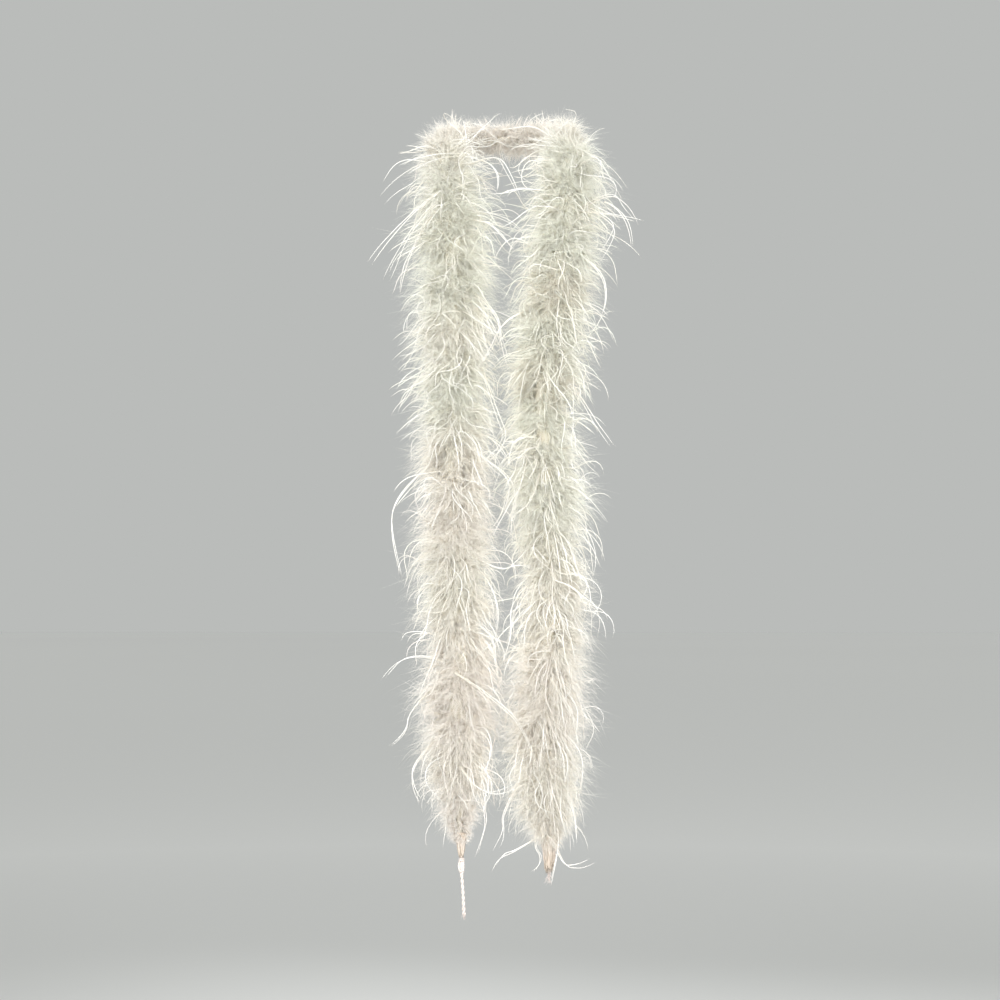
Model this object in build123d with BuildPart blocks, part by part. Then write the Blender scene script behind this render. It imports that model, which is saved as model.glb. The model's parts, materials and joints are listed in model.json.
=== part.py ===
"""Feather boa, worn round a neck with both ends hanging down in front.

The boa is a two-ply cord with bunches of marabou down tied round it one after the other, and
whorls of long ostrich flues tied in between bunches. Lengths are in millimetres, +Z is up, and
-Y is the wearer's front. The origin is the nape of the neck, where the loop rests.

The middle of the boa lies on the neck, the shoulders and the chest. From the bust each end
hangs free: it swings there, and it bends again half way down, at the knee.
"""
import math
import os

from build123d import *

os.makedirs("parts", exist_ok=True)

# Driving dimensions, mm and degrees
CORD_D = 5.0              # twisted core cord
TAIL_D = 4.0              # bare end of the cord, a little thinner
CORD_ARC_SHARE = 0.45     # of the shorter run beside a corner, taken up by the corner's arc
BORE_D = 12.0             # open middle of a bunch of down, clear of the cord and its thread
THREAD_D = 6.8            # outside of the turns of binding thread
THREAD_BAND = 6.0         # length of one band of thread
THREAD_INSET = 9.0        # from the end of a bunch to the middle of its band of thread
FIT = 0.15                # clear gap between the cord and what is tied on it
WHORL_GAP = 4.0           # between two bunches of down, where a whorl of flues is tied
CHEST_GAP = 7.6           # the same on the shoulder and chest, where the cord turns more
ROOT_D = 9.0              # root ring of a whorl
ROOT_H = 2.4
ROOT_BITE = 1.0           # depth that a flue starts inside the root ring
FLUE_THICK = 1.6          # a few flues lying together
FLUE_START = 38.0         # where a flue clears the down and begins to droop
FLUE_REACH = 88.0         # from the cord to the tip of a long flue
FLUE_DROOP = 34.0         # how far a tip hangs below its root
UPPER_DROOP = 0.20        # share of that droop reached half way along a flue's upper edge
UNDER_DROOP = 0.26        # and half way along its under edge
UPPER_BOW = 3.0           # the middle of the upper edge stands this much further out
NAPE_FLUE_REACH = 58.0    # shorter flues behind the neck
NECK_DOWN_R = 26.0        # down pressed against the neck
SHOULDER_DOWN_R = 31.0
CHEST_DOWN_R = 32.0
ROUNDING = 0.62           # rounding of a bunch's ends, as a share of its radius
LAST_ROUNDING = 0.95      # most of a bunch's end face that rounding may take
PIVOT_MARGIN = 1.0        # added to the clear gap at a place where the boa bends
SWING_MAX = 35.0          # outward swing at the bust
BEND_MAX = 60.0           # forward bend at the knee
WRAP_D = 13.0             # wrapped quills under the left end's last bunch
WRAP_LENGTH = 26.0
STUB_D = 19.0             # ragged wrapped stub at the right end
STUB_LENGTH = 34.0
STUB_WALL = 1.2           # left round the cord at the stub's tip
WRAP_HOLLOW = 0.6         # how far a wrapping's taper bows inward
WRAP_WAIST = 0.55         # where along the wrapping it bows most
WRAP_CLEAR = 1.0          # between the last bunch of down and the wrapping
KNOT_D = 7.4              # eye-shaped knot under the left end
KNOT_DEPTH = 4.0          # front to back
KNOT_PLY = 2.0            # width of the plies at the sides of the eye
KNOT_NECK = 3.6           # length of knot above and below the eye
KNOT_CORE_D = 2.2         # strand left standing in the middle of the eye
KNOT_STRAND_TOP = 0.12    # of the knot's height, from its top to the top of that strand
KNOT_ROUNDING = 0.7
TIE_GAP = 0.3             # between the knot and the cord above and below it

# Radii of the free bunches of down, top to bottom, and of the bottom of each end's last bunch
DOWN_R = {
    "left_upper": [31.0, 29.0, 27.0, 33.0],
    "left_lower": [30.0, 33.0, 30.0, 23.0],
    "right_upper": [30.0, 28.0, 32.0, 28.0],
    "right_lower": [28.0, 33.0, 31.0, 25.0],
}
LAST_BOTTOM_R = 9.5

# Corners of the cord's route, chosen by hand, one list for each stretch
NECK = [
    (61, -158, -226), (69, -150, -160), (74, -133, -98), (78, -98, -48), (78, -50, -13), (62, -2, -4),
    (25, 26, 1), (-25, 26, 0),
    (-63, -2, -6), (-77, -50, -16), (-76, -97, -50), (-69, -132, -100), (-65, -150, -162), (-63, -158, -228),
]
LEFT_UPPER = [(-65, -160, -296), (-62, -158, -364), (-63, -160, -430), (-60, -157, -496), (-65, -158, -556)]
LEFT_LOWER = [(-56, -156, -622), (-54, -158, -690), (-56, -155, -756), (-59, -157, -818), (-54, -156, -872)]
LEFT_END = (-53, -157, -905)
LEFT_TAIL = [(-53, -157, -922), (-51, -156, -945), (-50, -157, -971)]
RIGHT_UPPER = [(48, -160, -292), (45, -158, -360), (46, -160, -424), (49, -157, -490), (55, -158, -552)]
RIGHT_LOWER = [(58, -156, -616), (51, -158, -682), (44, -155, -746), (46, -157, -810), (52, -156, -868)]
RIGHT_END = (51, -157, -922)
RIGHT_TAIL = [(51, -157, -922.4), (50, -157, -938)]
NECK_CENTRE = (0, -50, 0)    # middle of the wearer's neck

WHORL_ANGLES = (-95, -62, -30, 0, 30, 62, 95)              # about the cord, from outward
WHORL_REACH = (0.94, 0.84, 1.0, 0.92, 1.0, 0.82, 0.94)     # of the reach, in the same order
NAPE_ANGLES = (-62, -28, 8, 44, 80)
NAPE_REACH = (0.9, 1.0, 0.86, 1.0, 0.94)
SHOULDER_ANGLES = (-74, -46, -18, 10, 38, 68)
SHOULDER_REACH = (0.8, 0.92, 1.0, 0.94, 1.0, 0.86)


def vector(point):
    return Vector(*tuple(point))


def middle(a, b):
    return (vector(a) + vector(b)) / 2


def arc_radii(points):
    """For each corner, the arc as large as the two runs beside it allow."""
    radii = []
    for before, corner, after in zip(points, points[1:], points[2:]):
        arriving = vector(corner) - vector(before)
        leaving = vector(after) - vector(corner)
        half_turn = math.radians(arriving.get_angle(leaving)) / 2
        radii.append(CORD_ARC_SHARE * min(arriving.length, leaving.length) / math.tan(half_turn))
    return radii


def route(points, radii):
    """Straight runs joined by tangent arcs."""
    with BuildLine() as line:
        if radii:
            FilletPolyline(*[vector(p) for p in points], radius=radii)
        else:
            Line(*[vector(p) for p in points])
    return line.wires()[0]


def at(path, length):
    return path.position_at(length, position_mode=PositionMode.LENGTH)


def along(path, length):
    return path.tangent_at(length, position_mode=PositionMode.LENGTH)


def finish(part, name):
    """Labels a sub-part and writes it."""
    part.label = name
    export_step(part, f"parts/{name}.step")


def cord_tube(name, points, diameter=CORD_D):
    """A plain tube along one stretch of the cord."""
    radii = arc_radii(points)
    path = route(points, radii)
    with BuildPart() as cord:
        with BuildLine():
            add(path)
        with BuildSketch(Plane(origin=path @ 0, z_dir=path % 0)):
            Circle(diameter / 2)
        sweep()
    share = cord.part.volume / (math.pi * diameter**2 / 4 * path.length)
    print(f"{name}: length {path.length:.1f}, volume / (section x length) {share:.3f}")
    print(f"    arc radii {[round(r) for r in radii]}")
    finish(cord.part, name)


def down_sleeve(name, points, radii, radius):
    """A bunch of down that bends round the neck."""
    path = route(points, radii)
    with BuildPart() as sleeve:
        with BuildLine():
            add(path)
        with BuildSketch(Plane(origin=path @ 0, z_dir=path % 0)):
            Circle(radius)
            Circle(BORE_D / 2, mode=Mode.SUBTRACT)
        sweep()
    finish(sleeve.part, name)


def down_bunch(name, top, bottom, radius, bottom_radius=None):
    """A bunch of down on a nearly straight stretch: a rounded barrel round the cord."""
    axis = bottom - top
    low = bottom_radius or radius
    across = axis.cross(Vector(0, 1, 0)).normalized()
    with BuildPart() as bunch:
        with BuildSketch(Plane(origin=top, x_dir=across, z_dir=across.cross(axis))) as profile:
            with BuildLine():
                Polyline(
                    (BORE_D / 2, 0), (radius, 0), (low, axis.length), (BORE_D / 2, axis.length), close=True
                )
            make_face()
            corners = profile.vertices().sort_by(Axis.X)[-2:]
            fillet(corners, min(ROUNDING * radius, LAST_ROUNDING * (low - BORE_D / 2)))
        revolve(axis=Axis(top, axis))
    finish(bunch.part, name)


def thread_bands(name, stations):
    """Turns of binding thread, one band at each (place, direction) along the cord."""
    with BuildPart() as bands:
        for place, direction in stations:
            with BuildSketch(Plane(origin=place, z_dir=direction)):
                Circle(THREAD_D / 2)
                Circle(CORD_D / 2 + FIT, mode=Mode.SUBTRACT)
            extrude(amount=THREAD_BAND / 2, both=True)
    finish(bands.part, name)


def flue_whorl(name, centre, down, outward, angles, shares, reach):
    """A root ring tied on the cord, with flues that stand out of it, arch over and droop."""
    up = -down.normalized()
    outward = (outward - up * outward.dot(up)).normalized()
    sideways = up.cross(outward)
    with BuildPart() as whorl:
        with BuildSketch(Plane(origin=centre, x_dir=outward, z_dir=up)):
            Circle(ROOT_D / 2)
            Circle(CORD_D / 2 + FIT, mode=Mode.SUBTRACT)
        extrude(amount=ROOT_H / 2, both=True)
        half = FLUE_THICK / 2
        root_low = (ROOT_D / 2 - ROOT_BITE, -half)
        root_high = (ROOT_D / 2 - ROOT_BITE, half)
        for angle, share in zip(angles, shares):
            turn = math.radians(angle)
            radial = outward * math.cos(turn) + sideways * math.sin(turn)
            tip = reach * share
            tip_end = (tip, -FLUE_DROOP)
            bow = (FLUE_START + tip) / 2
            with BuildSketch(Plane(origin=centre, x_dir=radial, z_dir=radial.cross(up))):
                with BuildLine():
                    Line(root_low, root_high)
                    Line(root_high, (FLUE_START, half))
                    ThreePointArc((FLUE_START, half), (bow + UPPER_BOW, -FLUE_DROOP * UPPER_DROOP), tip_end)
                    ThreePointArc(tip_end, (bow, -FLUE_DROOP * UNDER_DROOP), (FLUE_START, -half))
                    Line((FLUE_START, -half), root_low)
                make_face()
            extrude(amount=half, both=True)
    finish(whorl.part, name)


def down_gap(radius, angle):
    """How far a rounded bunch stays from a pivot, so that it clears its neighbour when tilted."""
    half = math.radians(angle) / 2
    corner = ROUNDING * radius
    return (corner + (radius - corner) * math.sin(half)) / math.cos(half) - corner + PIVOT_MARGIN


def cord_gap(angle):
    """The same for the flat end of the cord."""
    return CORD_D / 2 * math.tan(math.radians(angle) / 2) + PIVOT_MARGIN


def towards(start, goal, distance):
    return start + (vector(goal) - start).normalized() * distance


# Places where the boa bends
PIVOTS = {
    "left_bust": middle(NECK[-1], LEFT_UPPER[0]),
    "right_bust": middle(NECK[0], RIGHT_UPPER[0]),
    "left_knee": middle(LEFT_UPPER[-1], LEFT_LOWER[0]),
    "right_knee": middle(RIGHT_UPPER[-1], RIGHT_LOWER[0]),
}
for place, point in PIVOTS.items():
    print(f"{place}: {[round(v, 2) for v in tuple(point)]}")


def neck_loop():
    """The stretch that lies on the neck, the shoulders and the chest."""
    right, left = PIVOTS["right_bust"], PIVOTS["left_bust"]
    points = [right, *NECK, left]
    radii = arc_radii(points)
    gap = cord_gap(SWING_MAX)
    cord_tube("core_cord_neck", [towards(right, NECK[0], gap), *NECK, towards(left, NECK[-1], gap)])

    halves = [middle(a, b) for a, b in zip(NECK, NECK[1:])]
    for name, first, last in [("neck_right", 4, 5), ("nape", 6, 7), ("neck_left", 8, 9)]:
        start = towards(halves[first - 1], NECK[first], WHORL_GAP / 2)
        end = towards(halves[last], NECK[last], WHORL_GAP / 2)
        sleeve = [start, *NECK[first:last + 1], end]
        down_sleeve(f"marabou_{name}", sleeve, radii[first:last + 1], NECK_DOWN_R)

    inset = CHEST_GAP / 2
    for side, corners in [("right", (3, 2, 1, 0)), ("left", (10, 11, 12, 13))]:
        step = corners[1] - corners[0]
        for number, (corner, radius) in enumerate(
            zip(corners, [SHOULDER_DOWN_R, SHOULDER_DOWN_R, CHEST_DOWN_R, CHEST_DOWN_R]), 1
        ):
            above = halves[min(corner, corner - step)]
            if corner in (0, len(NECK) - 1):
                pivot = PIVOTS[f"{side}_bust"]
                below = towards(pivot, NECK[corner], down_gap(radius, SWING_MAX))
            else:
                half_below = halves[min(corner, corner + step)]
                below = towards(half_below, NECK[corner], inset)
            down_bunch(f"marabou_chest_{side}_{number}", towards(above, NECK[corner], inset), below, radius)
    path = route(points, radii)
    stations = []
    for half in halves:
        length = path.param_at_point(half) * path.length
        for shift in (-THREAD_INSET - inset, THREAD_INSET + inset):
            stations.append((at(path, length + shift), along(path, length + shift)))
    thread_bands("binding_thread_neck", stations)

    for side, nape_run, shoulder_run, collar_run, sign in [("right", 5, 3, 1, 1), ("left", 7, 9, 11, -1)]:
        for place, run, angles, shares, reach in [
            ("nape", nape_run, NAPE_ANGLES, NAPE_REACH, NAPE_FLUE_REACH),
            ("shoulder", shoulder_run, SHOULDER_ANGLES, SHOULDER_REACH, FLUE_REACH),
            ("chest", collar_run, WHORL_ANGLES, WHORL_REACH, FLUE_REACH),
        ]:
            centre = halves[run]
            upper, lower = (NECK[run + 1], NECK[run]) if side == "right" else (NECK[run], NECK[run + 1])
            outward = centre - Vector(*NECK_CENTRE) if place == "nape" else Vector(sign, 0, 0)
            turns = angles if side == "left" else [-a for a in angles]
            down = vector(lower) - vector(upper)
            flue_whorl(f"ostrich_flues_{place}_{side}", centre, down, outward, turns, shares, reach)


def hanging_stretch(name, top, corners, bottom, top_gap, bottom_gap, cord_ends, sign):
    """A free stretch: four bunches of down on the cord, with whorls of flues after the first and third."""
    points = [top, *corners, bottom]
    path = route(points, arc_radii(points))
    start = towards(vector(top), corners[0], cord_ends[0])
    end = towards(vector(bottom), corners[-1], cord_ends[1]) if cord_ends[1] else bottom
    cord_tube(f"core_cord_{name}", [start, *corners, end])

    radii = DOWN_R[name]
    length = (path.length - top_gap - bottom_gap - WHORL_GAP * (len(radii) - 1)) / len(radii)
    stations = []
    for index, radius in enumerate(radii):
        high = top_gap + index * (length + WHORL_GAP)
        low = high + length
        last = name.endswith("lower") and index == len(radii) - 1
        down_bunch(
            f"marabou_{name}_{index + 1}", at(path, high), at(path, low), radius,
            LAST_BOTTOM_R if last else None,
        )
        for place in (high + THREAD_INSET, low - THREAD_INSET):
            stations.append((at(path, place), along(path, place)))
        if index in (0, 2):
            place = low + WHORL_GAP / 2
            flue_whorl(
                f"ostrich_flues_{name}_{index // 2 + 1}", at(path, place), along(path, place),
                Vector(sign, 0, 0), WHORL_ANGLES, WHORL_REACH, FLUE_REACH,
            )
    thread_bands(f"binding_thread_{name}", stations)
    return path


def wrapped_end(name, path, top_radius, length, bottom_radius):
    """Thread wound over the last quills, tapering down the cord."""
    bottom = path @ 1
    top = at(path, path.length - length)
    axis = bottom - top
    across = axis.cross(Vector(0, 1, 0)).normalized()
    inner = CORD_D / 2 + FIT
    with BuildPart() as wrap:
        with BuildSketch(Plane(origin=top, x_dir=across, z_dir=across.cross(axis))):
            with BuildLine():
                Line((inner, 0), (top_radius, 0))
                ThreePointArc(
                    (top_radius, 0),
                    ((top_radius + bottom_radius) / 2 - WRAP_HOLLOW, axis.length * WRAP_WAIST),
                    (bottom_radius, axis.length),
                )
                Line((bottom_radius, axis.length), (inner, axis.length))
                Line((inner, axis.length), (inner, 0))
            make_face()
        revolve(axis=Axis(top, axis))
    finish(wrap.part, name)


def end_knot(name, top, bottom):
    """The cord's two plies, parted round an eye with one strand in it and drawn together at both ends."""
    half_height = (bottom - top).length / 2
    with BuildPart() as knot:
        with BuildSketch(Plane(origin=middle(top, bottom), x_dir=(1, 0, 0), z_dir=(0, -1, 0))):
            Ellipse(KNOT_D / 2, half_height)
            Ellipse(KNOT_D / 2 - KNOT_PLY, half_height - KNOT_NECK, mode=Mode.SUBTRACT)
        extrude(amount=KNOT_DEPTH / 2, both=True)
        fillet(knot.edges().filter_by(GeomType.ELLIPSE), KNOT_ROUNDING)
        with BuildSketch(Plane(origin=top + (bottom - top) * KNOT_STRAND_TOP, z_dir=(0, 0, -1))):
            Circle(KNOT_CORE_D / 2)
        extrude(amount=half_height * 2 * (1 - 2 * KNOT_STRAND_TOP))
    finish(knot.part, name)


neck_loop()
for side, sign, upper, lower, end, wrap_length in [
    ("left", -1, LEFT_UPPER, LEFT_LOWER, LEFT_END, WRAP_LENGTH),
    ("right", 1, RIGHT_UPPER, RIGHT_LOWER, RIGHT_END, STUB_LENGTH),
]:
    bust, knee = PIVOTS[f"{side}_bust"], PIVOTS[f"{side}_knee"]
    hanging_stretch(
        f"{side}_upper", bust, upper, knee,
        down_gap(DOWN_R[f"{side}_upper"][0], SWING_MAX), down_gap(DOWN_R[f"{side}_upper"][-1], BEND_MAX),
        (cord_gap(SWING_MAX), cord_gap(BEND_MAX)), sign,
    )
    path = hanging_stretch(
        f"{side}_lower", knee, lower, end,
        down_gap(DOWN_R[f"{side}_lower"][0], BEND_MAX), wrap_length + WRAP_CLEAR,
        (cord_gap(BEND_MAX), 0.0), sign,
    )
    if side == "left":
        wrapped_end("end_wrap_left", path, WRAP_D / 2, WRAP_LENGTH, KNOT_D / 2)
        tie = Vector(0, 0, TIE_GAP)
        end_knot("end_knot_left", vector(LEFT_END) - tie, vector(LEFT_TAIL[0]) + tie)
        cord_tube("cord_tail_left", LEFT_TAIL, TAIL_D)
    else:
        wrapped_end("end_stub_right", path, STUB_D / 2, STUB_LENGTH, TAIL_D / 2 + STUB_WALL)
        cord_tube("cord_tail_right", RIGHT_TAIL, TAIL_D)
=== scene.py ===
"""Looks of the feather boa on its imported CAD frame.

Metres, in the CAD model's frame: +Z up, -Y the wearer's front, origin at the nape. Left and
right are the viewer's. Each side of the boa is one chain from the nape to its end: a core cord,
plumes of down tied round it, and bunches of long ostrich flues that hang out of the down.
Every barb and flue is a closed tapering strand of mesh.
"""
import json
import math

import bpy
import numpy as np
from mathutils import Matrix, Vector


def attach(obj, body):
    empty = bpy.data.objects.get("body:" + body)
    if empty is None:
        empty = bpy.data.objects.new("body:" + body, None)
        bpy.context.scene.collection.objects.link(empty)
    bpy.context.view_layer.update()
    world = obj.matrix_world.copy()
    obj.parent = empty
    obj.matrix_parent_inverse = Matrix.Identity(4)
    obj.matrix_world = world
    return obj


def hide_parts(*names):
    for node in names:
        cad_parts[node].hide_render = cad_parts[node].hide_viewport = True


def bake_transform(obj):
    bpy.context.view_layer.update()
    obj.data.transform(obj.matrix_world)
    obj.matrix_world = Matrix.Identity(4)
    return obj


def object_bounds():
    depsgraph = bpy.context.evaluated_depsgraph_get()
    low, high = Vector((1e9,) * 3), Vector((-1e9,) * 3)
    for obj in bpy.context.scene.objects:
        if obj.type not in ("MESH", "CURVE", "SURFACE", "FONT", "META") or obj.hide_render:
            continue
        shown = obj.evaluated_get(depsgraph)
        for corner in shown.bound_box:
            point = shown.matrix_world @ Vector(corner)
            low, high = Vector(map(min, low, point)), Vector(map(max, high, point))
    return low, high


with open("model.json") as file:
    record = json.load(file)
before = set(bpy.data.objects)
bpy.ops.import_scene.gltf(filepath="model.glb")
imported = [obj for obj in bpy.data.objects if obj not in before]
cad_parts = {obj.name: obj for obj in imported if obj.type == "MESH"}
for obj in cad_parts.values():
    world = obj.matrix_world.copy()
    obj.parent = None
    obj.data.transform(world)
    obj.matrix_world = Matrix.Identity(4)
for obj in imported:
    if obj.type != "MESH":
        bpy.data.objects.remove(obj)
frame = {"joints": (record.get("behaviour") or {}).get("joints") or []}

CAD_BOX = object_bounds()
SEED = 41
DOWNWARD = np.array([0.0, 0.0, -1.0])

# ---------------------------------------------------------------- sizes and routes

CORD_D = 0.005
TAIL_D = 0.004
PLY_PITCH = 0.013            # one turn of the cord's two plies
PLY_SHARE = 0.27             # radius of one ply, as a share of the cord's diameter
ROPE_STEP = 0.0011           # between the rings of a ply's mesh
THREAD_R = 0.00035
THREAD_SPACING = 0.042       # between the bands of binding thread
THREAD_TURNS = 9             # in one band
THREAD_BAND = 0.0062         # length of one band along the cord
CORD_END_GAP = 0.002         # between the cord of one body and a pivot

# The left end's knot
KNOT_PLY_R = 0.00115
KNOT_NECK = 0.0007           # from the middle to a ply's centre, where the plies close
KNOT_EYE = 0.0021            # how much further apart they are at the eye
KNOT_SAG = 0.0004            # the eye leans to one side
KNOT_WEAVE = 0.0009          # the plies cross front to back
KNOT_CORE_R = 0.0021
KNOT_TURNS = [(0.06, 0.0024), (0.16, 0.0027), (0.90, 0.0024)]     # share of the height, and radius
KNOT_TURN_R = 0.0009
KNOT_TURN_RISE = 0.00016     # for each radian

# Corners of the cord's route, as in the CAD source
NECK = [
    (0.061, -0.158, -0.226), (0.069, -0.150, -0.160), (0.074, -0.133, -0.098), (0.078, -0.098, -0.048),
    (0.078, -0.050, -0.013), (0.062, -0.002, -0.004), (0.025, 0.026, 0.001), (-0.025, 0.026, 0.0),
    (-0.063, -0.002, -0.006), (-0.077, -0.050, -0.016), (-0.076, -0.097, -0.050), (-0.069, -0.132, -0.100),
    (-0.065, -0.150, -0.162), (-0.063, -0.158, -0.228),
]
LEFT_UPPER = [
    (-0.065, -0.160, -0.296), (-0.062, -0.158, -0.364), (-0.063, -0.160, -0.430),
    (-0.060, -0.157, -0.496), (-0.065, -0.158, -0.556),
]
LEFT_LOWER = [
    (-0.056, -0.156, -0.622), (-0.054, -0.158, -0.690), (-0.056, -0.155, -0.756),
    (-0.059, -0.157, -0.818), (-0.054, -0.156, -0.872),
]
LEFT_END = (-0.053, -0.157, -0.905)
LEFT_TAIL = [(-0.053, -0.157, -0.922), (-0.051, -0.156, -0.945), (-0.050, -0.157, -0.971)]
RIGHT_UPPER = [
    (0.048, -0.160, -0.292), (0.045, -0.158, -0.360), (0.046, -0.160, -0.424),
    (0.049, -0.157, -0.490), (0.055, -0.158, -0.552),
]
RIGHT_LOWER = [
    (0.058, -0.156, -0.616), (0.051, -0.158, -0.682), (0.044, -0.155, -0.746),
    (0.046, -0.157, -0.810), (0.052, -0.156, -0.868),
]
RIGHT_END = (0.051, -0.157, -0.922)
RIGHT_TAIL = [(0.051, -0.157, -0.9224), (0.050, -0.157, -0.938)]
NAPE = (0.0, 0.026, 0.001)

# Away from the wearer's body at each height: height, then shares outward, backward and up
AWAY = [
    (0.010, 0.0, 1.0, 0.3),
    (0.0, 0.15, 1.0, 0.35),
    (-0.005, 0.75, 0.45, 0.5),
    (-0.016, 0.7, 0.1, 0.7),
    (-0.050, 0.5, -0.45, 0.75),
    (-0.100, 0.3, -0.85, 0.45),
    (-0.160, 0.1, -1.0, 0.15),
    (-0.226, 0.0, -1.0, 0.0),
]

# Radius at which the down closes up, at each height
DOWN_RADIUS = {
    "left": [
        (0.01, 0.015), (-0.01, 0.015), (-0.04, 0.020), (-0.08, 0.029), (-0.11, 0.033), (-0.17, 0.037),
        (-0.24, 0.034), (-0.33, 0.030), (-0.40, 0.032), (-0.46, 0.028), (-0.53, 0.035), (-0.60, 0.032),
        (-0.65, 0.030), (-0.70, 0.037), (-0.77, 0.033), (-0.81, 0.027), (-0.84, 0.019), (-0.865, 0.010),
        (-0.885, 0.004),
    ],
    "right": [
        (0.01, 0.015), (-0.01, 0.016), (-0.04, 0.022), (-0.08, 0.032), (-0.16, 0.033), (-0.24, 0.031),
        (-0.29, 0.034), (-0.38, 0.029), (-0.46, 0.035), (-0.55, 0.028), (-0.60, 0.028), (-0.69, 0.036),
        (-0.76, 0.035), (-0.81, 0.031), (-0.85, 0.024), (-0.87, 0.014), (-0.89, 0.005),
    ],
}

# Hues of the feathers: down runs from pinkish white through ivory and greenish cream to tan
PINK_WHITE = (255, 249, 244)
WHITE = (254, 253, 249)
IVORY = (254, 250, 241)
GREEN_CREAM = (248, 250, 240)
TAN = (246, 238, 224)

# Share of the way from pinkish white to tan at each height. Near the nape the share is kept low as painted
# light: the down there lies in shade and is given a paler hue.
HUE = {
    "left": [
        (0.01, 0.10), (-0.05, 0.40), (-0.13, 0.70), (-0.21, 0.66), (-0.27, 0.42), (-0.34, 0.62),
        (-0.42, 0.30), (-0.50, 0.24), (-0.57, 0.45), (-0.64, 0.22), (-0.72, 0.14), (-0.78, 0.30),
        (-0.84, 0.10), (-0.90, 0.05),
    ],
    "right": [
        (0.01, 0.10), (-0.05, 0.60), (-0.12, 0.72), (-0.18, 0.60), (-0.21, 0.88), (-0.27, 0.66),
        (-0.33, 0.86), (-0.40, 0.52), (-0.47, 0.56), (-0.55, 0.40), (-0.63, 0.34), (-0.70, 0.20),
        (-0.80, 0.36), (-0.89, 0.20),
    ],
}
TINT_ROWS = 48               # rows of hue in the strands' own UV layer

# Parts of the root to tip ramp of painted shade: the matted core of the down, whose colour is painted shade,
# and a strand from its root to its tip, painted darker towards its root as shade deep in the down
PAINTED_CORE_SPAN = (0.0, 0.03)
STRAND = (0.05, 0.99)
CORE_PAINTED_SHADE = (214, 211, 202)


def srgb(color):
    """A colour given as 0 to 255, as the linear colour that a shader takes."""
    shares = [c / 255 for c in color]
    return tuple(s / 12.92 if s <= 0.04045 else ((s + 0.055) / 1.055) ** 2.4 for s in shares) + (1.0,)


# ---------------------------------------------------------------- lines

def unit(vectors):
    return vectors / np.maximum(np.linalg.norm(vectors, axis=-1, keepdims=True), 1e-12)


def route_line(points):
    """Points on the smooth NURBS line that has a route's corners as its control points."""
    curve = bpy.data.curves.new("route", "CURVE")
    curve.dimensions = "3D"
    curve.resolution_u = 40
    spline = curve.splines.new("NURBS")
    spline.points.add(len(points) - 1)
    for control, point in zip(spline.points, points):
        control.co = (*point, 1.0)
    spline.order_u = 3
    spline.use_endpoint_u = True
    holder = bpy.data.objects.new("route", curve)
    mesh = bpy.data.meshes.new_from_object(holder)
    line = np.array([v.co for v in mesh.vertices])
    bpy.data.meshes.remove(mesh)
    bpy.data.objects.remove(holder)
    bpy.data.curves.remove(curve)
    return line


def lengths_along(line):
    """Distance from the start of a line to each of its points."""
    steps = np.linalg.norm(np.diff(line, axis=0), axis=1)
    return np.concatenate([[0.0], np.cumsum(steps)])


class Chain:
    """A smooth centreline, read by distance along it."""

    def __init__(self, points, sign=1):
        self.points = route_line(points)
        self.distances = lengths_along(self.points)
        self.length = self.distances[-1]
        self.sign = sign

    def at(self, distance):
        return np.stack([np.interp(distance, self.distances, self.points[:, i]) for i in range(3)], axis=-1)

    def along(self, distance):
        return unit(self.at(distance + 0.004) - self.at(distance - 0.004))

    def away(self, distance):
        """Away from the wearer's body, square to the line."""
        height = -self.at(distance)[..., 2]
        keys = np.array(AWAY)
        shares = [np.interp(height, -keys[:, 0], keys[:, i]) for i in (1, 2, 3)]
        direction = np.stack([self.sign * shares[0], shares[1], shares[2]], axis=-1)
        along = self.along(distance)
        return unit(direction - along * np.sum(direction * along, axis=-1, keepdims=True))

    def outward(self, distance):
        return self.sign * -1 * np.cross(self.along(distance), self.away(distance))

    def nearest(self, point):
        """Distance along the line of the place nearest to a point."""
        return self.distances[np.argmin(np.linalg.norm(self.points - np.array(point), axis=1))]


def grow(roots, headings, lengths, steps, droop, curl, wave=0.0):
    """Lines that leave their roots along headings, sag by droop per metre, and turn by curl per metre."""
    step = (lengths / (steps - 1))[:, None]
    heading = headings
    points = [roots]
    for index in range(steps - 1):
        points.append(points[-1] + heading * step)
        swing = np.cos(wave + 7.0 * index / steps)[:, None] if np.ndim(wave) else 1.0
        heading = unit(heading + DOWNWARD * droop * step + np.cross(curl, heading) * step * swing)
    return np.stack(points, axis=1)


def soft_limit(values, limit, give):
    """Values past limit are pressed back, so that they pass it by less than give."""
    past = np.maximum(values - limit, 0.0)
    return np.minimum(values, limit) + give * np.tanh(past / give)


def press_to_body(lines, centres, away, depth):
    """Flattens strands where the boa lies on the wearer: depth is how far they reach towards the body."""
    inward = -np.einsum("nkc,nc->nk", lines - centres[:, None], away)
    pressed = np.where(
        inward > depth[:, None], depth[:, None] + 0.006 * np.tanh((inward - depth[:, None]) / 0.006), inward
    )
    return lines + (inward - pressed)[..., None] * away[:, None]


def keep_in_box(lines):
    """Strands stay within the CAD model's box."""
    low, high = (np.array(corner) for corner in CAD_BOX)
    kept = soft_limit(lines, high, 0.008)
    return -soft_limit(-kept, -low, 0.008)


# ---------------------------------------------------------------- strands

def carried_normals(tangents):
    """A normal at every point of each line, carried along without twist."""
    upright = np.abs(tangents[:, 0, 2:3]) > 0.9
    reference = np.where(upright, np.array([1.0, 0.0, 0.0]), np.array([0.0, 0.0, 1.0]))
    normal = unit(np.cross(tangents[:, 0], reference))
    normals = [normal]
    for index in range(1, tangents.shape[1]):
        tangent = tangents[:, index]
        normal = unit(normal - tangent * np.sum(normal * tangent, axis=1, keepdims=True))
        normals.append(normal)
    return np.stack(normals, axis=1)


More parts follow.
